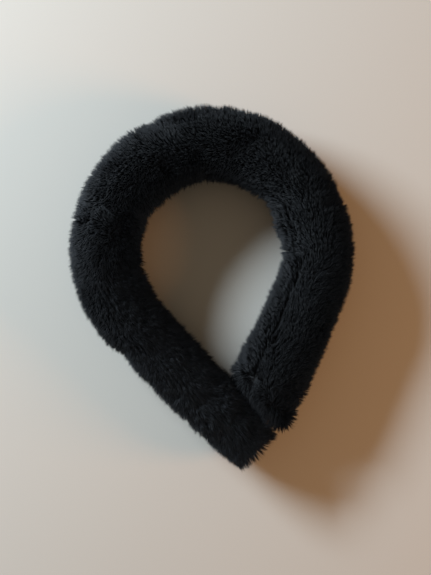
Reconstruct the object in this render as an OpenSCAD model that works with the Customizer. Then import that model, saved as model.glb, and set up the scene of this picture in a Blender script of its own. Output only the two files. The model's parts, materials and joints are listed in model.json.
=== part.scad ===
// Long slip-on fur wind sleeve for a slim tubular microphone, lying bent in a loop.
// The closed tip lies against the side of the mouth end. Millimetres, +Z up, floor at z = 0.
// A station is a distance along the middle line of the sleeve, from the mouth to the tip.

/* [Loop] */
// Radius of the round part of the loop, to the middle line
loop_r = 84; // [80:1:92]
// Length of the straight run that ends at the mouth
mouth_run = 137; // [132:0.5:142]
// Length of the straight run that ends at the closed tip
tip_run = 100; // [94:0.5:100]
// Direction from the loop's centre where the mouth run starts, in degrees
mouth_angle = 223.5; // [221:0.5:224]
// Direction from the loop's centre where the tip run starts, in degrees
tip_angle = -23.5; // [-26:0.5:-21]

/* [Sections] */
// Width of the sleeve over the fur at the mouth
mouth_w = 38.5; // [36:0.5:40]
// Width of the sleeve over the fur along the mouth run
neck_w = 49; // [46:0.5:49]
// Width of the sleeve over the fur on the left of the loop
left_w = 58; // [54:0.5:60]
// Width of the sleeve over the fur at the crown of the loop
crown_w = 61; // [56:0.5:62]
// Width of the sleeve over the fur along the tip run
tip_w = 57; // [52:0.5:58]
// Height of the sleeve where it lies free
sleeve_h = 50; // [46:0.5:50]
// Height of the mouth run
mouth_h = 44; // [42:0.5:46]
// Height of the tip run
tip_h = 45; // [42:0.5:46]
// How much flatter the underside is than the top
sole = 4; // [0:0.5:6]

/* [Layers] */
// Radius of the space for the microphone inside the lining
lining_r = 10.9; // [10.7:0.1:11]
// Thickness of the lining
lining_wall = 0.6; // [0.5:0.1:0.7]
// Outer radius of the foam core
foam_r = 16.9; // [16:0.1:16.9]
// Inner radius of the fur sleeve's backing
backing_r = 17.7; // [17.6:0.1:18]
// Thickness of the sewing thread
thread_d = 0.7; // [0.5:0.1:0.7]

/* [Mouth] */
// Bore of the rubber cuff that grips the microphone
cuff_bore = 21; // [20:0.5:21]
// Wall of the rubber cuff
cuff_wall = 2.5; // [2:0.1:2.5]
// Length of the rubber cuff inside the sleeve
cuff_depth = 32; // [28:1:33]
// Inner radius of the fur where it closes round the cuff
hem_r = 15.7; // [15.6:0.1:16]

/* [Bends] */
// Length of the mouth end that lifts in one piece
mouth_length = 66; // [62:1:68]
// Length of the soft bend behind the lifting mouth end
lift_length = 38; // [34:1:40]
// Gap between neighbouring lengths
joint_gap = 0.3; // [0.2:0.1:0.5]

/* [Hidden] */
// Place of the loop's centre, which puts the middle of the whole sleeve over the origin
loop_centre = [0.14, 28.12];
// Turn of the round part, in degrees, at the start of each bend and each length on it
left_start = 52;
upper_left_start = 67;
crown_start = 119;
upper_right_start = 149;
right_start = 191;
lower_right_start = 205.5;

function station(turn) = mouth_run + loop_r * turn * PI / 180;
round_turn = mouth_angle - tip_angle;
round_end = station(round_turn);
sleeve_end = round_end + tip_run;
cap_length = 14;
cap_start = sleeve_end - cap_length;
plug_length = 20;
plug_start = cap_start - plug_length;
foam_start = 36;
thread_start = 45;

// Name, first station and last station of each length of the sleeve, from the mouth
LENGTHS = [
    ["mouth", 0, mouth_length],
    ["lift_bend", mouth_length, mouth_length + lift_length],
    ["rise", mouth_length + lift_length, mouth_run],
    ["lower_left_bend", mouth_run, station(left_start)],
    ["left", station(left_start), station(upper_left_start)],
    ["upper_left_bend", station(upper_left_start), station(crown_start)],
    ["crown", station(crown_start), station(upper_right_start)],
    ["upper_right_bend", station(upper_right_start), station(right_start)],
    ["right", station(right_start), station(lower_right_start)],
    ["lower_right_bend", station(lower_right_start), round_end],
    ["tip", round_end, sleeve_end],
];
LAYERS = ["fur", "foam", "lining", "seam_thread"];
ENDS = [
    "fur_tip_cap", "foam_tip_plug", "tip_seam_thread",
    "mouth_cuff", "mouth_ring", "hem_elastic", "hem_thread",
];

fur_colour = "#1b1d21";
foam_colour = "#3a3b3e";
lining_colour = "#26272b";
thread_colour = "#0e0e10";
rubber_colour = "#151515";
elastic_colour = "#303238";
ring_colour = "#202226";

fur_sides = 20;
foam_sides = 16;
lining_sides = 14;
thread_sides = 5;
ring_step = 11;

// ---- Middle line ----

// Direction from the loop's centre to a station, in degrees
function polar(s) =
    s < mouth_run ? mouth_angle
    : s > round_end ? tip_angle
    : mouth_angle - (s - mouth_run) * 180 / (PI * loop_r);

// Distance of a station along a straight run, positive towards the mouth
function run(s) = s < mouth_run ? mouth_run - s : s > round_end ? round_end - s : 0;

function outward(s) = [cos(polar(s)), sin(polar(s))];
function along(s) = [-sin(polar(s)), cos(polar(s))];
function spine(s) = loop_centre + loop_r * outward(s) + run(s) * along(s);

function smooth(x) = let(u = min(1, max(0, x))) u * u * (3 - 2 * u);

// How far the tip's sections slant, so that its end lies flat along the mouth run's side
slant_length = 46;
end_slant = tan(270 - mouth_angle + tip_angle);
function slant(s) = end_slant * smooth((s - cap_start + slant_length) / slant_length);

// ---- Sections ----

left_mid = station(85);
crown_mid = station(130);
right_mid = station(200);
function width(s) = lookup(s, [
    [0, mouth_w],
    [14, mouth_w + 6],
    [35, neck_w - 1],
    [115, neck_w + 3],
    [155, left_w - 1],
    [190, left_w],
    [left_mid, left_w],
    [crown_mid, crown_w],
    [crown_mid + 35, crown_w - 2],
    [right_mid, tip_w - 1],
    [round_end, tip_w + 2],
    [sleeve_end, tip_w + 7],
]);
function height(s) = lookup(s, [
    [0, mouth_w],
    [14, mouth_h - 3],
    [35, mouth_h],
    [100, mouth_h + 1],
    [190, sleeve_h - 2],
    [left_mid, sleeve_h],
    [right_mid, sleeve_h - 1],
    [round_end, sleeve_h - 3],
    [sleeve_end, tip_h],
]);
// Height of the middle line, level along the lifting mouth end so that the cuff is straight
function middle(s) = height(max(s, mouth_length)) / 2;
function backing(s) = lookup(s, [[0, hem_r], [28, hem_r], [35, backing_r], [sleeve_end, backing_r]]);

// Point at an angle round the section at a station: 0 is outward and 90 is up
function section_point(s, across, up, q) =
    let(side = across * cos(q))
    let(flat = spine(s) + side * outward(s) - side * slant(s) * along(s))
    [flat.x, flat.y, middle(s) + up];
function angles(sides) = [for (k = [0:sides - 1]) 360 * (k + 0.5) / sides];

// Ring of points on the fur, flat where it rests, drawn in by a factor towards the tip's end
function fur_ring(s, factor = 1) = [
    for (q = angles(fur_sides))
        let(half = height(s) / 2)
        let(up = sin(q) >= 0 ? half * sin(q) : max(-half, (half + sole) * sin(q)))
        section_point(s, factor * width(s) / 2, factor * up, q)
];
function round_ring(s, r, sides) = [for (q = angles(sides)) section_point(s, r, r * sin(q), q)];
// A ring whose flats, not its corners, are at the radius
function clear_ring(s, r, sides) = round_ring(s, r / cos(180 / sides), sides);

// Angle of the long seam round the section: low on the inner wall, and up on the right
function seam_angle(s) = lookup(s, [
    [0, 196],
    [crown_mid + 20, 196],
    [station(178), 150],
    [round_end, 128],
    [sleeve_end, 124],
]);
function thread_ring(s) =
    let(q = seam_angle(s))
    let(r = (foam_r + backing_r) / 2)
    [for (v = angles(thread_sides))
        section_point(s, r * cos(q) + thread_d / 2 * cos(v), r * sin(q) + thread_d / 2 * sin(v), 0)];

// ---- Solids from rings ----

function stations(a, b, step = ring_step) =
    let(count = max(1, ceil((b - a) / step)))
    [for (i = [0:count]) a + (b - a) * i / count];

// The rows of a layer, the same for every layer as far as the foam plug, and then to its own end
function layer_rows(a, b, last) =
    let(shared = min(b, plug_start - joint_gap))
    concat(stations(a, shared), [for (s = stations(shared, min(b, last))) if (s > shared) s]);

function index(row, k, sides) = row * sides + k % sides;

// Faces of a wall between rings, facing out, or in when turned
function wall(rows, sides, first = 0, turned = false) = [
    for (i = [0:rows - 2], k = [0:sides - 1])
        let(a = first + index(i, k, sides))
        let(b = first + index(i, k + 1, sides))
        let(c = first + index(i + 1, k + 1, sides))
        let(d = first + index(i + 1, k, sides))
        each turned ? [[a, b, c], [a, c, d]] : [[a, c, b], [a, d, c]]
];

// Faces of a flat rim between an outer ring and an inner ring
function rim(outer, inner, sides, turned) = [
    for (k = [0:sides - 1])
        let(a = outer + k)
        let(b = outer + (k + 1) % sides)
        let(c = inner + (k + 1) % sides)
        let(d = inner + k)
        each turned ? [[a, c, b], [a, d, c]] : [[a, b, c], [a, c, d]]
];

module hollow(outer, inner) {
    rows = len(outer);
    sides = len(outer[0]);
    inside = rows * sides;
    last = (rows - 1) * sides;
    polyhedron(
        points = [for (ring = concat(outer, inner)) each ring],
        faces = concat(
            wall(rows, sides),
            wall(rows, sides, inside, true),
            rim(0, inside, sides, false),
            rim(last, inside + last, sides, true)
        )
    );
}

module rod(rings) {
    rows = len(rings);
    sides = len(rings[0]);
    last = (rows - 1) * sides;
    polyhedron(
        points = [for (ring = rings) each ring],
        faces = concat(
            wall(rows, sides),
            [[for (k = [0:sides - 1]) k]],
            [[for (k = [sides - 1:-1:0]) last + k]]
        )
    );
}

// ---- The layers of one length ----

module fur(a, b) {
    row = layer_rows(a, b, cap_start - joint_gap);
    color(fur_colour)
        hollow(
            [for (s = row) fur_ring(s)],
            [for (s = row) clear_ring(s, backing(s), fur_sides)]
        );
}

module foam(a, b) {
    row = layer_rows(max(a, foam_start), b, plug_start - joint_gap);
    color(foam_colour)
        hollow(
            [for (s = row) round_ring(s, foam_r, foam_sides)],
            [for (s = row) clear_ring(s, lining_r + lining_wall + 0.2, foam_sides)]
        );
}

module lining(a, b) {
    row = layer_rows(max(a, foam_start), b, plug_start - joint_gap);
    color(lining_colour)
        hollow(
            [for (s = row) round_ring(s, lining_r + lining_wall, lining_sides)],
            [for (s = row) round_ring(s, lining_r, lining_sides)]
        );
}

module seam_thread(a, b) {
    row = layer_rows(max(a, thread_start), b, cap_start - 8);
    color(thread_colour)
        rod([for (s = row) thread_ring(s)]);
}

module layer_length(layer, part) {
    a = part[1] + joint_gap / 2;
    b = part[2] - joint_gap / 2;
    if (layer == "fur") fur(a, b);
    if (layer == "foam") foam(a, b);
    if (layer == "lining") lining(a, b);
    if (layer == "seam_thread") seam_thread(a, b);
}

// ---- The closed tip ----

// Puts a shape on the middle line at a station, with +Z towards the mouth
module at_station(s) {
    translate([spine(s).x, spine(s).y, middle(s)])
        rotate([0, 90, polar(s) + 90])
            children();
}

module fur_tip_cap() {
    roundness = 2.4;
    steps = 6;
    last_draw = 0.97;
    color(fur_colour)
        rod([for (i = [0:steps])
            let(u = last_draw * i / steps)
            fur_ring(cap_start + cap_length * u, pow(1 - pow(u, roundness), 1 / roundness))]);
}

module foam_tip_plug() {
    color(foam_colour)
        rod([for (s = [plug_start, cap_start - joint_gap]) round_ring(s, foam_r, foam_sides)]);
}

module tip_seam_thread() {
    sides = 40;
    r = (foam_r + backing_r) / 2;
    half = 0.3;
    row = [cap_start - 4 - half, cap_start - 4 + half];
    color(thread_colour)
        hollow(
            [for (s = row) round_ring(s, r + half, sides)],
            [for (s = row) round_ring(s, r - half, sides)]
        );
}

// ---- The mouth ----

cuff_r = cuff_bore / 2 + cuff_wall;
lip_r = 15;
lip_out = 2;

module mouth_cuff() {
    corner = 0.6;
    color(rubber_colour)
        at_station(0)
            difference() {
                union() {
                    translate([0, 0, -cuff_depth])
                        cylinder(h = cuff_depth, r = cuff_r, $fn = 64);
                    rotate_extrude($fn = 64)
                        translate([lip_r - corner, lip_out - corner])
                            circle(r = corner, $fn = 24);
                    cylinder(h = lip_out, r = lip_r - corner, $fn = 64);
                    cylinder(h = lip_out - corner, r = lip_r, $fn = 64);
                }
                translate([0, 0, -cuff_depth - 1])
                    cylinder(h = cuff_depth + lip_out + 2, d = cuff_bore, $fn = 64);
            }
}

// A band round the cuff between two stations
module band(first, last, wall_r) {
    clearance = 0.2;
    at_station(last)
        rotate_extrude($fn = 64)
            translate([cuff_r + clearance, 0])
                square([wall_r, last - first]);
}

module mouth_ring() {
    color(ring_colour)
        band(3, 9, 2.2);
}

module hem_elastic() {
    color(elastic_colour)
        band(12, 24, 1.8);
}

module hem_thread() {
    color(thread_colour)
        at_station(26)
            rotate_extrude($fn = 64)
                translate([cuff_r + 1.4, 0])
                    circle(d = thread_d, $fn = 16);
}

// ---- Assembly ----

for (layer = LAYERS, part = LENGTHS) {
    layer_length(layer, part);
}
fur_tip_cap();
foam_tip_plug();
tip_seam_thread();
mouth_cuff();
mouth_ring();
hem_elastic();
hem_thread();
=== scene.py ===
"""A long fur wind sleeve for a slim microphone, lying bent in a loop, its tip against its mouth."""

import json
import math

import bmesh
import bpy
import numpy as np
from bpy.props import FloatProperty, FloatVectorProperty, IntProperty, PointerProperty
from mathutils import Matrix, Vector, noise

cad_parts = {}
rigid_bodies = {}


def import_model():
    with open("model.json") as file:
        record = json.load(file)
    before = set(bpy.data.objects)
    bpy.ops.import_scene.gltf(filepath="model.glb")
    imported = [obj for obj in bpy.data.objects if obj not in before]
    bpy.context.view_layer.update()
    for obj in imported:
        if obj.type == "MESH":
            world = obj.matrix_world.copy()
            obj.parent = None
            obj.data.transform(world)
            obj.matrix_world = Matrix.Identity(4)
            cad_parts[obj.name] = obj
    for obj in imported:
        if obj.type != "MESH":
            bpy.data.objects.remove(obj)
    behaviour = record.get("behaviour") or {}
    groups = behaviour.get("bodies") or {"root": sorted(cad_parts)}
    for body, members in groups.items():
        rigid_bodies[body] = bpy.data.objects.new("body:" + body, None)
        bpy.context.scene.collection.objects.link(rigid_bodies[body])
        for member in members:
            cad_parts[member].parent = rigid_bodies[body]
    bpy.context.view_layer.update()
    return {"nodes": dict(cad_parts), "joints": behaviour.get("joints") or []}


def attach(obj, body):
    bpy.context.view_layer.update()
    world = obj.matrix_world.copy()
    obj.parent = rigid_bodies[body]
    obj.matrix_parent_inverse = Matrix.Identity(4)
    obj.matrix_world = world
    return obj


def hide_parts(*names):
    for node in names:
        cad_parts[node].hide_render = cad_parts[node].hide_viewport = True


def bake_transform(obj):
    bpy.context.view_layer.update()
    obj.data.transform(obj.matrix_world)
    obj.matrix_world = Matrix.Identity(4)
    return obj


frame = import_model()

bl_info = {
    "name": "Fur wind sleeve",
    "version": (1, 0, 0),
    "blender": (4, 5, 0),
    "location": "3D View > Sidebar > Wind sleeve",
    "description": "Builds a long slip-on fur wind sleeve round its packed frame",
    "category": "Object",
}

MM = 0.001
NODES = frame["nodes"]
JOINTS = {j["name"]: j for j in frame["joints"]}


# ---- Sizes that a user would change ----


def size_of(name, millimetres, description):
    return FloatProperty(name=name, description=description, default=millimetres * MM, unit="LENGTH")


def power_of(name, watts, description):
    return FloatProperty(name=name, description=description, default=watts, unit="POWER")


def colour_of(name, colour, description):
    return FloatVectorProperty(name=name, description=description, default=colour, subtype="COLOR")


class SleeveSizes(bpy.types.PropertyGroup):
    """The sleeve's run and its sections over the fur."""

    mouth_run: size_of("Mouth run", 137, "Straight run that ends at the mouth")
    tip_run: size_of("Tip run", 100, "Straight run that ends at the closed tip")
    mouth_angle: FloatProperty(
        name="Mouth angle",
        description="Direction from the loop's centre where the mouth run starts",
        default=math.radians(223.5),
        subtype="ANGLE",
    )
    tip_angle: FloatProperty(
        name="Tip angle",
        description="Direction from the loop's centre where the tip run starts",
        default=math.radians(-23.5),
        subtype="ANGLE",
    )
    mouth_width: size_of("Mouth width", 38.5, "Width over the fur at the mouth")
    neck_width: size_of("Neck width", 49, "Width over the fur along the mouth run")
    left_width: size_of("Left width", 58, "Width over the fur left of the loop")
    crown_width: size_of("Crown width", 61, "Width over the fur at the crown")
    tip_width: size_of("Tip width", 57, "Width over the fur along the tip run")
    free_height: size_of("Free height", 50, "Height where the sleeve lies free")
    mouth_height: size_of("Mouth height", 44, "Height of the mouth run")
    tip_height: size_of("Tip height", 45, "Height of the tip run")


class BackingSizes(bpy.types.PropertyGroup):
    """The knitted backing under the pile."""

    depth: size_of("Pile depth", 8, "From the backing to the fur's outside")
    least_radius: size_of("Least radius", 18.7, "Outer radius of the backing where it lies on the foam")
    mouth_radius: size_of("Mouth radius", 16.7, "Outer radius of the backing at the mouth")
    wall: size_of("Wall", 0.8, "Thickness of the backing")
    sides: IntProperty(name="Sides", description="Points round the backing", default=44, min=16)
    spacing: size_of("Row spacing", 4, "Distance between rows along the backing")
    pressure: FloatProperty(name="Pressure", description="Pressure that fills the sleeve out", default=3.0)
    most_swell: size_of("Most swell", 1.2, "Furthest that the filling moves a point")


class PileSizes(bpy.types.PropertyGroup):
    """The pile: how long, how thick and how dense the tufts are."""

    length: size_of("Length", 9.6, "Length of a tuft")
    radius: size_of("Radius", 0.2, "Radius of a tuft at its middle")
    density: FloatProperty(
        name="Density", description="Tufts on a square millimetre of backing", default=2.6
    )
    clump: size_of("Clump", 3.2, "Size of a clump of tufts")
    gather: FloatProperty(
        name="Gather", description="How far a clump's tufts draw together", default=0.24, min=0, max=1
    )
    proud: size_of("Proud", 2.6, "How far the tufts stand past the plain outline")
    root_colour: colour_of("Root colour", (0.0105, 0.0112, 0.013), "Colour of the tufts' roots")
    tip_colour: colour_of("Tip colour", (0.0088, 0.0102, 0.0128), "Colour of the tufts' tips")


class StageSizes(bpy.types.PropertyGroup):
    """The floor, the light and the camera."""

    camera_height: size_of("Camera height", 675, "Height of the camera")
    lens: FloatProperty(name="Lens", description="Focal length in millimetres", default=50.9)
    floor_colour: colour_of("Floor colour", (0.72, 0.71, 0.68), "Colour of the floor")
    key_power: power_of("Key power", 42.0, "Power of the key light")
    side_power: power_of("Side power", 16.0, "Power of the low side light")
    soft_power: power_of("Soft power", 15.0, "Power of the sleeve's own light")
    overhead_power: power_of("Overhead power", 5.5, "Power of the sleeve's own light from above")
    front_power: power_of("Front power", 5.0, "Power of the sleeve's own light from the front")
    fill_strength: FloatProperty(name="Fill", description="Strength of the surrounding light", default=0.14)


# ---- The sleeve's middle line and sections ----


def circle_through(a, b, c):
    """Centre and radius of the flat circle through three points."""
    ax, ay, bx, by, cx, cy = a[0], a[1], b[0], b[1], c[0], c[1]
    d = 2 * (ax * (by - cy) + bx * (cy - ay) + cx * (ay - by))
    aa, bb, cc = ax * ax + ay * ay, bx * bx + by * by, cx * cx + cy * cy
    x = (aa * (by - cy) + bb * (cy - ay) + cc * (ay - by)) / d
    y = (aa * (cx - bx) + bb * (ax - cx) + cc * (bx - ax)) / d
    return np.array((x, y)), math.hypot(ax - x, ay - y)


def smooth_step(x):
    x = np.clip(x, 0, 1)
    return x * x * (3 - 2 * x)


class Sleeve:
    """Where the sleeve runs and how thick it is. A station is a distance from the mouth."""

    ROUND_HINGES = ("upper_left_bend", "upper_right_bend", "lower_right_bend")
    BEND_STOPS = (52, 67, 119, 149, 191, 205.5)  # degrees of turn where the round part's lengths meet
    LIFT_START = 66 * MM
    LIFT_END = 104 * MM
    CAP = 14 * MM
    CAP_ROUNDNESS = 2.4
    SLANT_LENGTH = 46 * MM
    SOLE = 4 * MM

    def __init__(self, sizes, backing):
        self.centre, self.radius = circle_through(*(JOINTS[name]["pos_m"] for name in self.ROUND_HINGES))
        self.sizes = sizes
        self.backing = backing
        self.round_end = self.station(math.degrees(sizes.mouth_angle - sizes.tip_angle))
        self.end = self.round_end + sizes.tip_run
        left, crown, right = self.station(85), self.station(130), self.station(200)
        self.widths = (
            (0, sizes.mouth_width),
            (14 * MM, sizes.mouth_width + 6 * MM),
            (35 * MM, sizes.neck_width - 1 * MM),
            (115 * MM, sizes.neck_width + 3 * MM),
            (155 * MM, sizes.left_width - 1 * MM),
            (190 * MM, sizes.left_width),
            (left, sizes.left_width),
            (crown, sizes.crown_width),
            (crown + 35 * MM, sizes.crown_width - 2 * MM),
            (right, sizes.tip_width - 1 * MM),
            (self.round_end, sizes.tip_width + 2 * MM),
            (self.end, sizes.tip_width + 7 * MM),
        )
        self.heights = (
            (0, sizes.mouth_width),
            (14 * MM, sizes.mouth_height - 3 * MM),
            (35 * MM, sizes.mouth_height),
            (100 * MM, sizes.mouth_height + 1 * MM),
            (190 * MM, sizes.free_height - 2 * MM),
            (left, sizes.free_height),
            (right, sizes.free_height - 1 * MM),
            (self.round_end, sizes.free_height - 3 * MM),
            (self.end, sizes.tip_height),
        )
        self.seam = (
            (0, 196),
            (crown + 17 * MM, 196),
            (self.station(178), 150),
            (self.round_end, 128),
            (self.end, 124),
        )

    def station(self, turn):
        """The station that many degrees of turn past the start of the round part."""
        return self.sizes.mouth_run + self.radius * math.radians(turn)

    @staticmethod
    def look_up(table, s):
        return np.interp(s, [row[0] for row in table], [row[1] for row in table])

    def polar(self, s):
        turn = self.sizes.mouth_angle - (np.asarray(s) - self.sizes.mouth_run) / self.radius
        return np.clip(turn, self.sizes.tip_angle, self.sizes.mouth_angle)

    def outward(self, s):
        a = self.polar(s)
        return np.stack((np.cos(a), np.sin(a), np.zeros_like(a)), -1)

    def to_mouth(self, s):
        a = self.polar(s)
        return np.stack((-np.sin(a), np.cos(a), np.zeros_like(a)), -1)

    def slant(self, s):
        """How far the tip's sections slant, so that its end lies flat along the mouth run's side."""
        most = math.tan(1.5 * math.pi - self.sizes.mouth_angle + self.sizes.tip_angle)
        start = self.end - self.CAP - self.SLANT_LENGTH
        return most * smooth_step((np.asarray(s) - start) / self.SLANT_LENGTH)

    def middle(self, s):
        s = np.asarray(s, float)
        straight = np.where(
            s < self.sizes.mouth_run,
            self.sizes.mouth_run - s,
            np.where(s > self.round_end, self.round_end - s, 0),
        )
        at = self.radius * self.outward(s) + straight[..., None] * self.to_mouth(s)
        at[..., :2] += self.centre
        at[..., 2] = self.look_up(self.heights, np.maximum(s, self.LIFT_START)) / 2
        return at

    def draw_in(self, s):
        """1 along the sleeve, and falling to 0 over the rounded tip."""
        u = np.clip((np.asarray(s) - self.end + self.CAP) / self.CAP, 0, 1)
        return (1 - u**self.CAP_ROUNDNESS) ** (1 / self.CAP_ROUNDNESS)

    def halves(self, s):
        """Half the width and half the height over the fur."""
        return self.look_up(self.widths, s) / 2, self.look_up(self.heights, s) / 2

    def skin_halves(self, s):
        """Half the width and half the height of the backing."""
        wide, high = self.halves(s)
        at_mouth, along, depth = self.backing.mouth_radius, self.backing.least_radius, self.backing.depth
        least = self.look_up(((0, at_mouth), (28 * MM, at_mouth), (38 * MM, along)), s)
        return np.maximum(wide - depth, least), np.maximum(high - depth, least)

    def section(self, s, q, halves, sole=0.0):
        """Points at an angle round the section: 0 is outward and pi / 2 is up."""
        wide, high = halves
        shrink = self.draw_in(s)
        low = np.maximum(-high, (high + sole) * np.sin(q))
        up = np.where(np.sin(q) >= 0, high * np.sin(q), low)
        side = (shrink * wide * np.cos(q))[..., None]
        at = self.middle(s) + side * (self.outward(s) - self.slant(s)[..., None] * self.to_mouth(s))
        at[..., 2] += shrink * up
        return at

    def fur_point(self, s, q):
        return self.section(s, q, self.halves(s), self.SOLE)

    def skin_point(self, s, q):
        return self.section(s, q, self.skin_halves(s))

    def seam_angle(self, s):
        return np.radians(self.look_up(self.seam, s))


class Length:
    """One length of the sleeve, and the body or the two bodies that it belongs to."""

    def __init__(self, name, start, end, bodies):
        self.name = name
        self.start = start
        self.end = end
        self.bodies = bodies


def lengths_of(sleeve):
    """The lengths from the mouth to the tip. A bend names the body on its mouth side first."""
    stops = [0, sleeve.LIFT_START, sleeve.LIFT_END, sleeve.sizes.mouth_run]
    stops += [sleeve.station(turn) for turn in sleeve.BEND_STOPS]
    stops += [sleeve.round_end, sleeve.end]
    parts = (
        ("mouth", ("mouth_length",)),
        ("lift_bend", ("mouth_length", "rise_length")),
        ("rise", ("rise_length",)),
        ("lower_left_bend", ("rise_length", "left_length")),
        ("left", ("left_length",)),
        ("upper_left_bend", ("left_length", "crown_length")),
        ("crown", ("crown_length",)),
        ("upper_right_bend", ("crown_length", "right_length")),
        ("right", ("right_length",)),
        ("lower_right_bend", ("right_length", "tip_length")),
        ("tip", ("tip_length",)),
    )
    return [Length(name, a, b, bodies) for (name, bodies), a, b in zip(parts, stops, stops[1:])]


def sleeve_now():
    scene = bpy.context.scene
    return Sleeve(scene.sleeve_sizes, scene.backing_sizes)


# ---- Helpers ----


def new_object(name, mesh):
    piece = bpy.data.objects.new(name, mesh)
    bpy.context.collection.objects.link(piece)
    return piece


def mesh_from(bm, name, smooth=True):
    mesh = bpy.data.meshes.new(name)
    for face in bm.faces:
        face.smooth = smooth
    bm.to_mesh(mesh)
    bm.free()
    return mesh


def move_with(piece, length, sleeve):
    """Lets a piece ride on its body; a piece between two bodies only has its placing baked into its mesh."""
    if len(length.bodies) == 1:
        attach(piece, length.bodies[0])
        return
    # The middle line's points at the bend's two ends are found and given one height, but nothing uses them
    start, end = (sleeve.middle(s) for s in (length.start, length.end))
    start[2] = end[2] = (start[2] + end[2]) / 2
    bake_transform(piece)


# ---- Materials ----


class Finish:
    """A material being built: its nodes, its links and its shader."""

    def __init__(self, name):
        self.material = bpy.data.materials.new(name)
        self.material.use_nodes = True
        self.nodes = self.material.node_tree.nodes
        self.links = self.material.node_tree.links
        self.shader = self.nodes["Principled BSDF"]

    def add(self, kind, **values):
        node = self.nodes.new(kind)
        for key, value in values.items():
            if key in node.inputs:
                node.inputs[key].default_value = value
            else:
                setattr(node, key, value)
        return node

    def join(self, a, out, b, into):
        self.links.new(a.outputs[out], b.inputs[into])

    def place(self, scale=1.0, stretch=(1, 1, 1)):
        """Object coordinates, scaled."""
        coords = self.add("ShaderNodeTexCoord")
        mapping = self.add("ShaderNodeMapping")
        mapping.inputs["Scale"].default_value = [scale * k for k in stretch]
        self.join(coords, "Object", mapping, "Vector")
        return mapping

    def noise(self, mapping, scale, detail=4.0, roughness=0.6):
        node = self.add("ShaderNodeTexNoise", Scale=scale, Detail=detail, Roughness=roughness)
        self.join(mapping, "Vector", node, "Vector")
        return node

    def colours(self, source, out, low, high, start=0.3, stop=0.7):
        ramp = self.add("ShaderNodeValToRGB")
        ramp.color_ramp.elements[0].position = start
        ramp.color_ramp.elements[1].position = stop
        ramp.color_ramp.elements[0].color = (*low, 1)
        ramp.color_ramp.elements[1].color = (*high, 1)
        self.join(source, out, ramp, "Fac")
        self.join(ramp, "Color", self.shader, "Base Color")
        return ramp

    def bump(self, source, out, depth, strength=0.6):
        node = self.add("ShaderNodeBump", Strength=strength, Distance=depth)
        self.join(source, out, node, "Height")
        self.join(node, "Normal", self.shader, "Normal")
        return node

    def surface(self, roughness, specular=0.3, sheen=0.0):
        self.shader.inputs["Roughness"].default_value = roughness
        self.shader.inputs["Specular IOR Level"].default_value = specular
        self.shader.inputs["Sheen Weight"].default_value = sheen
        return self.material


def tuft_finish(name, colour, roughness, sheen):
    """Pile: plain on its own sockets, because the variation is from tuft to tuft."""
    finish = Finish(name)
    finish.shader.inputs["Base Color"].default_value = (*colour, 1)
    finish.shader.inputs["Sheen Roughness"].default_value = 0.45
    finish.shader.inputs["Sheen Tint"].default_value = (0.78, 0.86, 1.0, 1)
    return finish.surface(roughness, specular=0.22, sheen=sheen)


def knit_finish():
    """The backing: rows of small knitted loops."""
    finish = Finish("knit_backing")
    mapping = finish.place(scale=1.0)
    rows = finish.add("ShaderNodeTexWave", Scale=210.0, Distortion=3.0, Detail=2.0)
    rows.bands_direction = "Z"
    finish.join(mapping, "Vector", rows, "Vector")
    loops = finish.add("ShaderNodeTexVoronoi", Scale=900.0)
    finish.join(mapping, "Vector", loops, "Vector")
    both = finish.add("ShaderNodeMath", operation="MULTIPLY")
    finish.join(rows, "Fac", both, 0)
    finish.join(loops, "Distance", both, 1)
    finish.colours(both, "Value", (0.004, 0.004, 0.005), (0.014, 0.015, 0.017), 0.0, 0.6)
    finish.bump(both, "Value", 0.0004)
    return finish.surface(0.85, specular=0.2, sheen=0.1)


def foam_finish():
    """Open-cell foam: round pores of two sizes."""
    finish = Finish("open_foam")
    mapping = finish.place()
    pores = finish.add("ShaderNodeTexVoronoi", Scale=620.0, Randomness=1.0)
    finish.join(mapping, "Vector", pores, "Vector")
    grain = finish.noise(mapping, 1500.0)
    both = finish.add("ShaderNodeMath", operation="MULTIPLY_ADD")
    both.inputs[1].default_value = 0.35
    finish.join(grain, "Fac", both, 0)
    finish.join(pores, "Distance", both, 2)
    finish.colours(both, "Value", (0.006, 0.006, 0.007), (0.05, 0.051, 0.055), 0.2, 0.9)
    finish.bump(both, "Value", 0.0008)
    return finish.surface(0.95, specular=0.15)


def lining_finish():
    """Lining: a fine plain weave with a slight shine."""
    finish = Finish("woven_lining")
    mapping = finish.place()
    across = finish.add("ShaderNodeTexWave", Scale=420.0, Distortion=0.6)
    across.bands_direction = "Z"
    up = finish.add("ShaderNodeTexWave", Scale=420.0, Distortion=0.6)
    up.bands_direction = "DIAGONAL"
    both = finish.add("ShaderNodeMath", operation="MULTIPLY")
    for wave, socket in ((across, 0), (up, 1)):
        finish.join(mapping, "Vector", wave, "Vector")
        finish.join(wave, "Fac", both, socket)
    finish.colours(both, "Value", (0.008, 0.008, 0.01), (0.035, 0.036, 0.04), 0.1, 0.9)
    finish.bump(both, "Value", 0.0001)
    return finish.surface(0.5, specular=0.4, sheen=0.15)


def thread_finish():
    """Sewing thread: two plies, twisted."""
    finish = Finish("twisted_thread")
    mapping = finish.place(stretch=(1, 1, 1.6))
    plies = finish.add("ShaderNodeTexWave", Scale=700.0, Distortion=1.0)
    plies.bands_direction = "DIAGONAL"
    finish.join(mapping, "Vector", plies, "Vector")
    finish.colours(plies, "Fac", (0.004, 0.004, 0.005), (0.016, 0.016, 0.018), 0.2, 0.8)
    finish.bump(plies, "Fac", 0.00015)
    return finish.surface(0.55, specular=0.35)


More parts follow.
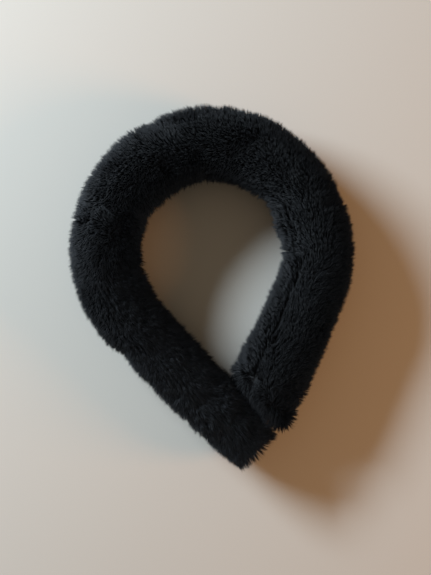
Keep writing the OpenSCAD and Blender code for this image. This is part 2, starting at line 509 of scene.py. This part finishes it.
def rubber_finish():
    """Moulded rubber: fine grain, and a faint bloom."""
    finish = Finish("moulded_rubber")
    mapping = finish.place()
    bloom = finish.noise(mapping, 90.0, detail=3.0)
    grain = finish.noise(mapping, 1800.0, detail=6.0)
    finish.colours(bloom, "Fac", (0.012, 0.012, 0.0125), (0.026, 0.026, 0.027))
    finish.bump(grain, "Fac", 0.00012, strength=0.5)
    return finish.surface(0.62, specular=0.4)


def ring_finish():
    """Moulded nylon with a spark-eroded grain."""
    finish = Finish("moulded_nylon")
    mapping = finish.place()
    cloud = finish.noise(mapping, 60.0, detail=2.0)
    grain = finish.noise(mapping, 2600.0, detail=3.0)
    finish.colours(cloud, "Fac", (0.016, 0.0165, 0.018), (0.026, 0.027, 0.029))
    finish.bump(grain, "Fac", 0.00008, strength=0.4)
    return finish.surface(0.45, specular=0.5)


def elastic_finish():
    """Elastic webbing: ribs along the band, crossed by rubber cords."""
    finish = Finish("elastic_webbing")
    mapping = finish.place()
    ribs = finish.add("ShaderNodeTexWave", Scale=260.0, Distortion=0.4)
    ribs.bands_direction = "Z"
    fuzz = finish.noise(mapping, 1400.0)
    both = finish.add("ShaderNodeMath", operation="MULTIPLY_ADD")
    both.inputs[1].default_value = 0.4
    finish.join(mapping, "Vector", ribs, "Vector")
    finish.join(fuzz, "Fac", both, 0)
    finish.join(ribs, "Fac", both, 2)
    finish.colours(both, "Value", (0.012, 0.012, 0.014), (0.05, 0.052, 0.058), 0.2, 1.1)
    finish.bump(both, "Value", 0.0003)
    return finish.surface(0.8, specular=0.25, sheen=0.1)


def floor_finish(colour):
    finish = Finish("painted_floor")
    mapping = finish.place()
    cloud = finish.noise(mapping, 3.0, detail=2.0)
    lighter = [min(1, c * 1.012) for c in colour]
    finish.colours(cloud, "Fac", tuple(colour), tuple(lighter))
    return finish.surface(0.6, specular=0.25)


FINISHES = {
    "foam": foam_finish,
    "lining": lining_finish,
    "thread": thread_finish,
    "rubber": rubber_finish,
    "ring": ring_finish,
    "elastic": elastic_finish,
}


def finish_of(slot):
    """The material for a slot of the record, made once."""
    made = finish_of.__dict__.setdefault("made", {})
    if slot not in made:
        made[slot] = FINISHES[slot]()
    return made[slot]


# ---- The backing ----


class Skin:
    """The backing's surface as rows of points, one row at each station."""

    LUMP_SCALE = 38  # lumps to a metre, roughly
    LUMP_DEPTH = 1.1 * MM
    VALLEY_DEPTH = 0.5 * MM
    VALLEY_ANGLE = 1 / 6
    CAP_ROWS = 12
    LAST_ROW = 0.9985  # how far along the cap the last row is, so that it keeps a little width

    def __init__(self, sleeve, spacing, sides):
        self.sleeve = sleeve
        self.sides = sides
        self.angles = 2 * math.pi * (np.arange(sides) + 0.5) / sides
        rows = []
        self.breaks = {}
        for part in lengths_of(sleeve):
            count = max(2, math.ceil((part.end - part.start) / spacing))
            stations = np.linspace(part.start, part.end, count + 1)
            if part.name == "tip":
                stations = self.close_up(stations)
            first = len(rows) - 1 if rows else 0
            rows += list(stations[1:] if rows else stations)
            self.breaks[part.name] = (first, len(rows) - 1)
        self.stations = np.array(rows)
        grid_s, grid_q = np.meshgrid(self.stations, self.angles, indexing="ij")
        self.points = sleeve.skin_point(grid_s, grid_q)
        self.shape_by_hand(grid_s, grid_q)

    def close_up(self, stations):
        """Draws rows together over the rounded tip."""
        cap_start = self.sleeve.end - self.sleeve.CAP
        straight = stations[stations < cap_start - 2 * MM]
        over = np.sin(np.linspace(0, 0.5 * math.pi, self.CAP_ROWS)) * self.LAST_ROW
        return np.concatenate((straight, cap_start + self.sleeve.CAP * over))

    def shape_by_hand(self, grid_s, grid_q):
        """Low lumps all over, a valley along the seam, and the creases where the sleeve buckles."""
        around = self.points - self.sleeve.middle(grid_s)
        reach = np.linalg.norm(around, axis=-1, keepdims=True)
        away = around / np.maximum(reach, 1e-6)
        lumps = np.array([noise.noise(Vector(p) * self.LUMP_SCALE) for p in self.points.reshape(-1, 3)])
        push = self.LUMP_DEPTH * lumps.reshape(grid_s.shape)
        turn = np.angle(np.exp(1j * (grid_q - self.sleeve.seam_angle(grid_s))))
        push -= self.VALLEY_DEPTH * np.exp(-((turn / self.VALLEY_ANGLE) ** 2))
        for crease_s, crease_q, width, depth in self.creases():
            along = (grid_s - crease_s) / width
            across = np.angle(np.exp(1j * (grid_q - crease_q)))
            push -= depth * np.exp(-(along**2) - across**2)
        quiet = smooth_step((grid_s - 34 * MM) / (20 * MM)) * self.sleeve.draw_in(grid_s)
        push = np.maximum(push * quiet, self.room_inside(grid_s, grid_q, reach[..., 0]))
        self.points += push[..., None] * away

    def room_inside(self, grid_s, grid_q, reach):
        """How far in a point may go before the backing meets the foam."""
        return np.minimum(0, self.sleeve.backing.least_radius * self.sleeve.draw_in(grid_s) - reach)

    def creases(self):
        """Station, angle, width and depth of each crease."""
        st = self.sleeve.station
        return (
            (st(107), 0.4, 6 * MM, 3.0 * MM),
            (st(199.5), 0.1, 5 * MM, 2.6 * MM),
            (self.sleeve.end - 22 * MM, 0.2, 5 * MM, 2.2 * MM),
            (st(178), math.pi, 7 * MM, 2.4 * MM),
            (st(203), math.pi, 12 * MM, -4.0 * MM),
            (st(228), math.pi, 5 * MM, 2.5 * MM),
            (st(128), math.pi, 8 * MM, 2.4 * MM),
            (st(72), 2.7, 7 * MM, 2.0 * MM),
            (st(30), 2.9, 7 * MM, 2.0 * MM),
            (st(12), math.pi, 34 * MM, -1.6 * MM),
            (st(224), math.pi, 22 * MM, -1.6 * MM),
        )

    def rings(self, name=None):
        first, last = self.breaks[name] if name else (0, len(self.stations) - 1)
        return self.points[first : last + 1]

    def row_of(self, s):
        return np.interp(s, self.stations, np.arange(len(self.stations)))

    def at(self, s, q):
        """Point, outward normal, direction to the mouth and direction round, at stations and angles."""
        u = np.clip(self.row_of(s), 0, len(self.stations) - 1.001)
        v = (q / (2 * math.pi) * self.sides - 0.5) % self.sides
        i, k = u.astype(int), v.astype(int) % self.sides
        fu, fv = (u - i)[:, None], (v - np.floor(v))[:, None]
        p00, p01 = self.points[i, k], self.points[i, (k + 1) % self.sides]
        p10, p11 = self.points[i + 1, k], self.points[i + 1, (k + 1) % self.sides]
        point = (p00 * (1 - fv) + p01 * fv) * (1 - fu) + (p10 * (1 - fv) + p11 * fv) * fu
        to_mouth = unit((p00 - p10) * (1 - fv) + (p01 - p11) * fv)
        round_it = unit((p01 - p00) * (1 - fu) + (p11 - p10) * fu)
        return point, unit(np.cross(to_mouth, round_it)), to_mouth, round_it


def unit(v):
    return v / np.maximum(np.linalg.norm(v, axis=-1, keepdims=True), 1e-9)


def tube_from(rings, close_end=False):
    """A tube through rings of points: the first is a circle, and the rest are extruded from it."""
    bm = bmesh.new()
    made = bmesh.ops.create_circle(bm, cap_ends=False, segments=rings.shape[1], radius=0.02)
    edges = list(bm.edges)
    for vert, at in zip(made["verts"], rings[0]):
        vert.co = at
    for row in rings[1:]:
        grown = bmesh.ops.extrude_edge_only(bm, edges=edges)["geom"]
        fresh = [g for g in grown if isinstance(g, bmesh.types.BMVert)]
        edges = [g for g in grown if isinstance(g, bmesh.types.BMEdge)]
        for vert, at in zip(fresh, row):
            vert.co = at
    if close_end:
        bmesh.ops.contextual_create(bm, geom=edges)
    bmesh.ops.recalc_face_normals(bm, faces=bm.faces)
    put_in_order(bm)
    return bm


def put_in_order(bm):
    """Sorts edges and faces by their corners, so that a simulation gives the same result each run."""
    bm.verts.index_update()

    def rank(part):
        corners = [vert.index for vert in part.verts]
        return min(corners) * len(bm.verts) + max(corners)

    bm.edges.sort(key=rank)
    bm.faces.sort(key=rank)


FILL_FRAMES = 20
HELD_MOUTH = 40 * MM
HELD_TIP = 3 * MM
HELD_SEAM = 0.09  # radians each side of the seam


def fill_out(skin):
    """Fills the backing by cloth simulation, and reads its points back into the rows."""
    settings = bpy.context.scene.backing_sizes
    piece = new_object("sleeve_being_filled", mesh_from(tube_from(skin.rings(), True), "sleeve_being_filled"))
    held = piece.vertex_groups.new(name="held")
    grid_s = np.repeat(skin.stations, skin.sides)
    grid_q = np.tile(skin.angles, len(skin.stations))
    seam = np.angle(np.exp(1j * (grid_q - skin.sleeve.seam_angle(grid_s))))
    fixed = (grid_s < HELD_MOUTH) | (np.abs(seam) < HELD_SEAM) | (grid_s > skin.sleeve.end - HELD_TIP)
    held.add([int(k) for k in np.nonzero(fixed)[0]], 1.0, "REPLACE")
    before = skin.points.reshape(-1, 3).copy()
    cloth = piece.modifiers.new("filling", "CLOTH")
    cloth.settings.quality = 5
    cloth.settings.mass = 0.15
    cloth.settings.tension_stiffness = 12
    cloth.settings.compression_stiffness = 12
    cloth.settings.bending_stiffness = 2
    cloth.settings.use_pressure = True
    cloth.settings.uniform_pressure_force = settings.pressure
    cloth.settings.shrink_min = -0.03
    cloth.settings.vertex_group_mass = "held"
    cloth.settings.effector_weights.gravity = 0
    cloth.point_cache.frame_start = 1
    cloth.point_cache.frame_end = FILL_FRAMES
    scene = bpy.context.scene
    for number in range(1, FILL_FRAMES + 1):
        scene.frame_set(number)
    result = piece.evaluated_get(bpy.context.evaluated_depsgraph_get()).to_mesh()
    after = np.empty(len(result.vertices) * 3)
    result.vertices.foreach_get("co", after)
    moved = after.reshape(-1, 3)[: len(before)] - before
    far = np.linalg.norm(moved, axis=1, keepdims=True)
    moved *= np.minimum(1, settings.most_swell / np.maximum(far, 1e-9))
    skin.points = (before + moved).reshape(skin.points.shape)
    scene.frame_set(1)
    mesh = piece.data
    bpy.data.objects.remove(piece)
    bpy.data.meshes.remove(mesh)


def skin_now():
    """The backing's surface, filled out once and kept for the backing and the pile."""
    if "skin" not in skin_now.__dict__:
        settings = bpy.context.scene.backing_sizes
        skin = Skin(sleeve_now(), settings.spacing, settings.sides)
        fill_out(skin)
        skin_now.skin = skin
    return skin_now.skin


class SLEEVE_OT_backing(bpy.types.Operator):
    """Make the knitted backing, one piece for each length of the sleeve"""

    bl_idname = "sleeve.backing"
    bl_label = "Backing"

    def execute(self, context):
        skin = skin_now()
        knit = knit_finish()
        for part in lengths_of(skin.sleeve):
            last = part.name == "tip"
            bm = tube_from(skin.rings(part.name), close_end=last)
            wall = context.scene.backing_sizes.wall
            bmesh.ops.solidify(bm, geom=list(bm.faces), thickness=wall)
            bmesh.ops.recalc_face_normals(bm, faces=bm.faces)
            piece = new_object(f"backing_{part.name}", mesh_from(bm, f"backing_{part.name}"))
            piece.data.materials.append(knit)
            nodes = [f"fur_{part.name}"] + (["fur_tip_cap"] if last else [])
            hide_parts(*nodes)
            move_with(piece, part, skin.sleeve)
        return {"FINISHED"}


# ---- The pile ----


BENDS = (0.6, 2.2, 3.8)  # how far each kind of tuft curls, in its own thicknesses
# Brightness, roughness and sheen of each shade
SHADES = ((0.7, 0.7, 0.02), (0.9, 0.65, 0.03), (1.1, 0.6, 0.05), (1.5, 0.55, 0.08))
SHADE_STEPS = (0.42, 0.72, 0.93)


def tuft_mesh(bend, shade, finishes):
    """A closed tapered tuft, one long and one thick, that curls towards +X."""
    bm = bmesh.new()
    bmesh.ops.create_circle(bm, cap_ends=True, segments=3, radius=0.8)
    top = list(bm.faces)
    height = 0.0
    for rise, spread, lean in ((0.5, 1.3, 0.3), (0.5, 0.0, 0.7)):
        grown = bmesh.ops.extrude_face_region(bm, geom=top)["geom"]
        top = [g for g in grown if isinstance(g, bmesh.types.BMFace)]
        verts = [g for g in grown if isinstance(g, bmesh.types.BMVert)]
        centre = sum((v.co for v in verts), Vector()) / len(verts)
        height += rise
        for vert in verts:
            vert.co = centre + (vert.co - centre) * spread + Vector((bend * lean, 0, rise))
        if spread == 0:
            bmesh.ops.pointmerge(bm, verts=verts, merge_co=verts[0].co.copy())
    bmesh.ops.delete(bm, geom=[f for f in bm.faces if f.calc_area() < 1e-9], context="FACES_ONLY")
    if not any(abs(f.normal.z) > 0.99 and f.calc_center_median().z < 1e-6 for f in bm.faces):
        bmesh.ops.contextual_create(bm, geom=[v for v in bm.verts if v.co.z < 1e-6])
    bmesh.ops.recalc_face_normals(bm, faces=bm.faces)
    for face in bm.faces:
        face.material_index = 0 if face.calc_center_median().z < 0.4 else 1
    mesh = mesh_from(bm, f"tuft_{shade}")
    mesh.materials.append(finishes[0])
    mesh.materials.append(finishes[1 + shade])
    return mesh


def tuft_finishes():
    settings = bpy.context.scene.pile_sizes
    tip = settings.tip_colour
    made = [tuft_finish("pile_root", tuple(settings.root_colour), 0.75, 0.0)]
    for number, (lighter, roughness, sheen) in enumerate(SHADES, 1):
        made.append(tuft_finish(f"pile_tip_{number}", tuple(c * lighter for c in tip), roughness, sheen))
    return made


def planter():
    """Geometry nodes that stand a tuft on every point, turned, sized and picked by its attributes."""
    group = bpy.data.node_groups.new("plant_tufts", "GeometryNodeTree")
    group.interface.new_socket("Points", in_out="INPUT", socket_type="NodeSocketGeometry")
    group.interface.new_socket("Pile", in_out="OUTPUT", socket_type="NodeSocketGeometry")
    collection = bpy.data.collections.new("tufts")
    bpy.context.scene.collection.children.link(collection)
    finishes = tuft_finishes()
    for shade in range(len(SHADES)):
        for number, bend in enumerate(BENDS):
            mesh = tuft_mesh(bend, shade, finishes)
            collection.objects.link(bpy.data.objects.new(f"tuft_{shade}_{number}", mesh))
    nodes, links = group.nodes, group.links
    points, pile = nodes.new("NodeGroupInput"), nodes.new("NodeGroupOutput")
    tufts = nodes.new("GeometryNodeCollectionInfo")
    tufts.inputs["Collection"].default_value = collection
    tufts.inputs["Separate Children"].default_value = True
    tufts.inputs["Reset Children"].default_value = True
    plant = nodes.new("GeometryNodeInstanceOnPoints")
    plant.inputs["Pick Instance"].default_value = True
    for name, kind, socket in (
        ("pick", "INT", "Instance Index"),
        ("turn", "FLOAT_VECTOR", "Rotation"),
        ("size", "FLOAT_VECTOR", "Scale"),
    ):
        read = nodes.new("GeometryNodeInputNamedAttribute")
        read.data_type = kind
        read.inputs["Name"].default_value = name
        links.new(read.outputs["Attribute"], plant.inputs[socket])
    whole = nodes.new("GeometryNodeRealizeInstances")
    links.new(points.outputs["Points"], plant.inputs["Points"])
    links.new(tufts.outputs["Instances"], plant.inputs["Instance"])
    links.new(plant.outputs["Instances"], whole.inputs["Geometry"])
    links.new(whole.outputs["Geometry"], pile.inputs["Pile"])
    return group, collection


def wave_hash(i, j, salt):
    """A number from 0 to 1 for each pair of whole numbers."""
    value = np.sin(i * 127.1 + j * 311.7 + salt * 74.7) * 43758.5453
    return value - np.floor(value)


class Pile:
    """Works out where the tufts of a length stand, and which way they lie."""

    AROUND = 24 * MM  # arc length for each radian round the section, for sizes of patterns
    LAST = 0.01 * MM  # how far short of the tip's point a root stays
    DRIFT_SCALE = 26
    SWIRL_SCALE = 75
    SWIRL_OFFSET = Vector((7, 3, 1))
    COLUMNS = 44

    def __init__(self, skin, settings):
        self.skin = skin
        self.sleeve = skin.sleeve
        self.settings = settings

    def roots(self, start, end, rng):
        """Stations and angles of the roots, spread evenly and thinned under the sleeve."""
        rows = max(1, round((end - start) / (3 * MM)))
        edge_s = np.linspace(start, end, rows + 1)
        edge_q = np.linspace(0, 2 * math.pi, self.COLUMNS + 1)
        low_s, low_q = (g.ravel() for g in np.meshgrid(edge_s[:-1], edge_q[:-1], indexing="ij"))
        step_s, step_q = edge_s[1] - edge_s[0], edge_q[1] - edge_q[0]
        mid_s, mid_q = low_s + step_s / 2, low_q + step_q / 2
        centre = self.skin.at(mid_s, mid_q)[0]
        ahead = self.skin.at(np.minimum(low_s + step_s, self.sleeve.end - self.LAST), mid_q)[0]
        behind = self.skin.at(low_s, mid_q)[0]
        beside = self.skin.at(mid_s, low_q + step_q)[0]
        area = np.linalg.norm(ahead - behind, axis=1) * 2 * np.linalg.norm(beside - centre, axis=1) / MM**2
        under = np.clip(-np.sin(mid_q) * 2.2 - 0.6, 0, 1)
        wanted = area * self.settings.density * (1 - 0.62 * under)
        count = np.floor(wanted + rng.random(len(wanted))).astype(int)
        cell = np.repeat(np.arange(len(count)), count)
        s = low_s[cell] + step_s * rng.random(len(cell))
        q = low_q[cell] + step_q * rng.random(len(cell))
        return np.minimum(s, self.sleeve.end - self.LAST), q

    def clumps(self, s, q):
        """Station, angle and number of the clump that each root belongs to."""
        size = self.settings.clump
        x, y = s / size, q * self.AROUND / size
        i, j = np.floor(x), np.floor(y)
        best = np.full(len(s), 1e9)
        at_x, at_y = x.copy(), y.copy()
        for di in (-1, 0, 1):
            for dj in (-1, 0, 1):
                cx = i + di + 0.5 + 0.9 * (wave_hash(i + di, j + dj, 1) - 0.5)
                cy = j + dj + 0.5 + 0.9 * (wave_hash(i + di, j + dj, 2) - 0.5)
                near = (cx - x) ** 2 + (cy - y) ** 2
                closer = near < best
                best = np.where(closer, near, best)
                at_x, at_y = np.where(closer, cx, at_x), np.where(closer, cy, at_y)
        number = wave_hash(np.floor(at_x * 7), np.floor(at_y * 7), 3)
        return np.clip(at_x * size, 0, self.sleeve.end - self.LAST), at_y * size / self.AROUND, number

    def ruffle(self, s):
        """How ruffled the pile is: most at the crown and upper left, least along the mouth run."""
        st, end = self.sleeve.station, self.sleeve.end
        stops = (0, 60 * MM, 150 * MM, st(60), st(85), st(120), st(160), st(190), end - 40 * MM, end)
        return np.interp(s, stops, (0.5, 0.3, 0.35, 0.6, 0.9, 0.9, 0.6, 0.45, 0.45, 0.8))

    def lie(self, s, q, normal, to_mouth, round_it, point):
        """Unit direction along the surface in which the tufts lean, and how near each is to the seam."""
        drift = np.array([noise.noise_vector(Vector(p) * self.DRIFT_SCALE) for p in point])
        swirl = np.array([noise.noise_vector(Vector(p) * self.SWIRL_SCALE + self.SWIRL_OFFSET) for p in point])
        ruffle = self.ruffle(s)[:, None]
        lean = to_mouth * (1.0 - 0.35 * ruffle)
        lean += drift * (0.5 + 1.0 * ruffle) + swirl * (0.25 + 0.7 * ruffle)
        at_tip = smooth_step((s - self.sleeve.end + 26 * MM) / (20 * MM))[:, None]
        lean -= to_mouth * 1.8 * at_tip
        turn = np.angle(np.exp(1j * (q - self.sleeve.seam_angle(s))))
        beside = np.exp(-((turn * self.AROUND / (5 * MM)) ** 2))
        lean += round_it * (np.sign(turn) * beside * 0.38)[:, None]
        lean -= normal * np.sum(lean * normal, axis=1, keepdims=True)
        return unit(lean), np.exp(-((turn * self.AROUND / (1.8 * MM)) ** 2))

    def tips(self, s, q):
        """Where tufts from these roots would end, before any clumping."""
        point, normal, to_mouth, round_it = self.skin.at(s, q)
        lean, seam = self.lie(s, q, normal, to_mouth, round_it, point)
        room = np.sum((self.sleeve.fur_point(s, q) - self.sleeve.skin_point(s, q)) * normal, axis=1)
        at_mouth = smooth_step((20 * MM - s) / (20 * MM))
        proud = self.settings.proud * (0.4 + self.ruffle(s)) * (1 - at_mouth * 0.5)
        length = self.settings.length * (0.82 + 0.3 * self.ruffle(s))
        rise = np.clip(room + proud, 1.2 * MM, length * 0.96)
        rise *= 1 - 0.2 * seam
        flat = np.sqrt(np.maximum(length**2 - rise**2, 0))
        under = np.sin(q) < -0.75
        flat = np.where(under, np.minimum(flat, 3 * MM), flat)
        return point, normal, point + normal * rise[:, None] + lean * flat[:, None]

    def plant(self, start, end, seed):
        """Points, directions, sizes and kinds of the tufts whose roots lie between two stations."""
        rng = np.random.default_rng(seed)
        s, q = self.roots(start, end, rng)
        clump_s, clump_q, number = self.clumps(s, q)
        root, normal, tip = self.tips(s, q)
        meet = self.tips(clump_s, clump_q)[2]
        gather = self.settings.gather * (0.7 + 0.5 * rng.random(len(s)))[:, None]
        tip = tip * (1 - gather) + meet * gather
        reach = tip - root
        reach *= (0.74 + 0.34 * rng.random(len(s)))[:, None] * (0.9 + 0.22 * number)[:, None]
        reach += normal * (rng.random(len(s)) - 0.4)[:, None] * 1.2 * MM
        reach[:, 2] = np.maximum(reach[:, 2], 0.4 * MM - root[:, 2])
        root = root - normal * 0.3 * MM
        size = np.linalg.norm(reach, axis=1)
        aim = unit(reach)
        side = unit(normal + 1e-3 - aim * np.sum((normal + 1e-3) * aim, axis=1, keepdims=True))
        thick = self.settings.radius * (0.75 + 0.5 * rng.random(len(s)))
        # Painted shade: tufts on the right-hand run, past about 75 degrees of turn, are pushed to darker
        # shades for the side that the light reaches less. The rest of the mark is random tone by clump and by
        # tuft.
        painted_shade_right = smooth_step((s - self.sleeve.station(75)) / (60 * MM))
        shade_mark = 0.55 * number + 0.45 * rng.random(len(s)) - 0.5 * painted_shade_right
        shade = np.searchsorted(SHADE_STEPS, shade_mark)
        curl = rng.integers(0, len(BENDS), len(s))
        return root, euler(-side, aim), np.stack((thick, thick, size), 1), shade * len(BENDS) + curl


def euler(x, z):
    """Turns that take +X and +Z to these directions."""
    y = np.cross(z, x)
    tilt = np.arcsin(np.clip(-x[:, 2], -1, 1))
    return np.stack((np.arctan2(y[:, 2], z[:, 2]), tilt, np.arctan2(x[:, 1], x[:, 0])), 1)


def planted(name, group, where):
    """The pile of one length as a finished mesh."""
    root, turn, size, pick = where
    points = bpy.data.meshes.new("roots")
    points.vertices.add(len(root))
    points.vertices.foreach_set("co", root.ravel())
    for label, kind, values in (
        ("turn", "FLOAT_VECTOR", turn),
        ("size", "FLOAT_VECTOR", size),
        ("pick", "INT", pick),
    ):
        attribute = points.attributes.new(label, kind, "POINT")
        attribute.data.foreach_set("value" if kind == "INT" else "vector", values.ravel())
    holder = new_object("roots", points)
    holder.modifiers.new("pile", "NODES").node_group = group
    graph = bpy.context.evaluated_depsgraph_get()
    mesh = bpy.data.meshes.new_from_object(holder.evaluated_get(graph), depsgraph=graph)
    mesh.name = name
    bpy.data.objects.remove(holder)
    bpy.data.meshes.remove(points)
    return new_object(name, mesh)


class SLEEVE_OT_pile(bpy.types.Operator):
    """Plant the pile in pieces along the lengths of the sleeve, those on a straight length riding on its body
    """

    bl_idname = "sleeve.pile"
    bl_label = "Pile"

    most_tufts = 19000
    girth = 150 * MM
    first_seed = 11

    def execute(self, context):
        skin = skin_now()
        settings = context.scene.pile_sizes
        pile = Pile(skin, settings)
        group, collection = planter()
        noise.seed_set(self.first_seed)
        seed = self.first_seed
        for part in lengths_of(skin.sleeve):
            area = (part.end - part.start) * self.girth / MM**2
            shares = max(1, math.ceil(area * settings.density * 0.85 / self.most_tufts))
            stops = np.linspace(part.start, part.end, shares + 1)
            for number, (a, b) in enumerate(zip(stops, stops[1:])):
                name = f"pile_{part.name}" + (f"_{number + 1}" if shares > 1 else "")
                piece = planted(name, group, pile.plant(a, b, seed))
                seed += 1
                if not piece.data.polygons:
                    raise RuntimeError(f"{name} grew no tufts")
                move_with(piece, part, skin.sleeve)
        for tuft in list(collection.objects):
            bpy.data.objects.remove(tuft)
        bpy.data.collections.remove(collection)
        return {"FINISHED"}


# ---- What the sleeve holds ----


class SLEEVE_OT_core(bpy.types.Operator):
    """Finish the foam, the lining and the threads, and remake their pieces at the sleeve's bends as meshes of
    their own
    """

    bl_idname = "sleeve.core"
    bl_label = "Core"

    def execute(self, context):
        sleeve = sleeve_now()
        for part in lengths_of(sleeve):
            for layer, slot in (("foam", "foam"), ("lining", "lining"), ("seam_thread", "thread")):
                node = f"{layer}_{part.name}"
                if len(part.bodies) == 1:
                    repaint(node, slot)
                    continue
                bm = bmesh.new()
                bm.from_mesh(NODES[node].data)
                bmesh.ops.remove_doubles(bm, verts=bm.verts, dist=0.01 * MM)
                bmesh.ops.recalc_face_normals(bm, faces=bm.faces)
                piece = new_object(f"bending_{node}", mesh_from(bm, f"bending_{node}"))
                piece.data.materials.append(finish_of(slot))
                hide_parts(node)
                move_with(piece, part, sleeve)
        repaint("foam_tip_plug", "foam")
        repaint("tip_seam_thread", "thread")
        return {"FINISHED"}


def repaint(node, slot):
    """Gives a CAD node its finish."""
    mesh = NODES[node].data
    mesh.materials.clear()
    mesh.materials.append(finish_of(slot))


class SLEEVE_OT_mouth(bpy.types.Operator):
    """Finish the cuff, the ring, the elastic and the hem's thread"""

    bl_idname = "sleeve.mouth"
    bl_label = "Mouth"

    def execute(self, context):
        for node, slot in (
            ("mouth_cuff", "rubber"),
            ("mouth_ring", "ring"),
            ("hem_elastic", "elastic"),
            ("hem_thread", "thread"),
        ):
            repaint(node, slot)
        return {"FINISHED"}


# ---- The stage ----


class SLEEVE_OT_stage(bpy.types.Operator):
    """Set the floor, the light and the camera"""

    bl_idname = "sleeve.stage"
    bl_label = "Stage"

    FLOOR_SIZE = 3.0
    EYE_OFFSET = np.array((2.8, -29.2)) * MM  # from over the loop's centre
    AIM = Vector((0, 0, 0.02))
    # Name, place, size, power, colour, and whether it lights the floor and the sleeve
    LIGHTS = (
        ("key", (-1.24, 0.84, 0.68), (0.95, 0.3), "key_power", (0.83, 0.94, 1.0), True, True),
        ("side", (1.7, -0.3, 0.6), (0.6, 0.6), "side_power", (1.0, 0.42, 0.12), True, False),
        ("soft", (-1.5, 0.25, 0.6), (0.8, 0.4), "soft_power", (0.78, 0.89, 1.0), False, True),
        ("overhead", (-0.1, 0.1, 1.5), (0.8, 0.8), "overhead_power", (0.85, 0.93, 1.0), False, True),
        ("front", (1.0, -1.3, 0.5), (0.8, 0.5), "front_power", (1.0, 0.92, 0.84), False, True),
    )

    def execute(self, context):
        settings = context.scene.stage_sizes
        bm = bmesh.new()
        bmesh.ops.create_grid(bm, x_segments=1, y_segments=1, size=self.FLOOR_SIZE)
        floor = new_object("floor", mesh_from(bm, "floor", smooth=False))
        floor.data.materials.append(floor_finish(settings.floor_colour))
        for name, place, size, power, colour, on_floor, on_sleeve in self.LIGHTS:
            lamp = self.light(name, place, size, getattr(settings, power), colour)
            if not (on_floor and on_sleeve):
                self.light_part(lamp, floor, on_floor)
        world = bpy.data.worlds.new("room")
        world.use_nodes = True
        shine = world.node_tree.nodes["Background"]
        shine.inputs["Color"].default_value = (1.0, 0.77, 0.53, 1)
        shine.inputs["Strength"].default_value = settings.fill_strength
        context.scene.world = world
        camera = bpy.data.cameras.new("camera")
        camera.lens = settings.lens
        camera.sensor_width = 36
        camera.sensor_fit = "AUTO"
        eye = bpy.data.objects.new("camera", camera)
        eye.location = (*(sleeve_now().centre + self.EYE_OFFSET), settings.camera_height)
        context.scene.collection.objects.link(eye)
        context.scene.camera = eye
        context.scene.view_settings.view_transform = "Standard"
        return {"FINISHED"}

    def light(self, name, place, size, power, colour):
        lamp = bpy.data.lights.new(name, "AREA")
        lamp.shape = "ELLIPSE"
        lamp.size, lamp.size_y = size
        lamp.energy = power
        lamp.color = colour
        holder = bpy.data.objects.new(name, lamp)
        holder.location = place
        aim = Vector(place) - self.AIM
        holder.rotation_euler = aim.to_track_quat("Z", "Y").to_euler()
        bpy.context.scene.collection.objects.link(holder)
        return holder

    def light_part(self, lamp, floor, on_floor):
        """Lets a light reach only the floor, or everything but the floor."""
        lit = bpy.data.collections.new(f"lit_by_{lamp.name}")
        lit.objects.link(floor)
        if not on_floor:
            lit.collection_objects[0].light_linking.link_state = "EXCLUDE"
        lamp.light_linking.receiver_collection = lit


# ---- Panel and registration ----


STEPS = (SLEEVE_OT_stage, SLEEVE_OT_backing, SLEEVE_OT_pile, SLEEVE_OT_core, SLEEVE_OT_mouth)
SETTINGS = {
    "sleeve_sizes": SleeveSizes,
    "backing_sizes": BackingSizes,
    "pile_sizes": PileSizes,
    "stage_sizes": StageSizes,
}


class SLEEVE_PT_panel(bpy.types.Panel):
    """Lists the steps that build the sleeve"""

    bl_idname = "SLEEVE_PT_panel"
    bl_label = "Wind sleeve"
    bl_space_type = "VIEW_3D"
    bl_region_type = "UI"
    bl_category = "Wind sleeve"

    def draw(self, context):
        for step in STEPS:
            self.layout.operator(step.bl_idname)
        for name, kind in SETTINGS.items():
            box = self.layout.box()
            for prop in kind.__annotations__:
                box.prop(getattr(context.scene, name), prop)


CLASSES = (*SETTINGS.values(), *STEPS, SLEEVE_PT_panel)


def register():
    for kind in CLASSES:
        bpy.utils.register_class(kind)
    for name, kind in SETTINGS.items():
        setattr(bpy.types.Scene, name, PointerProperty(type=kind))


def unregister():
    for name in SETTINGS:
        delattr(bpy.types.Scene, name)
    for kind in reversed(CLASSES):
        bpy.utils.unregister_class(kind)


def main():
    register()
    bpy.ops.sleeve.stage()
    bpy.ops.sleeve.backing()
    bpy.ops.sleeve.pile()
    bpy.ops.sleeve.core()
    bpy.ops.sleeve.mouth()


if __name__ == "__main__":
    main()
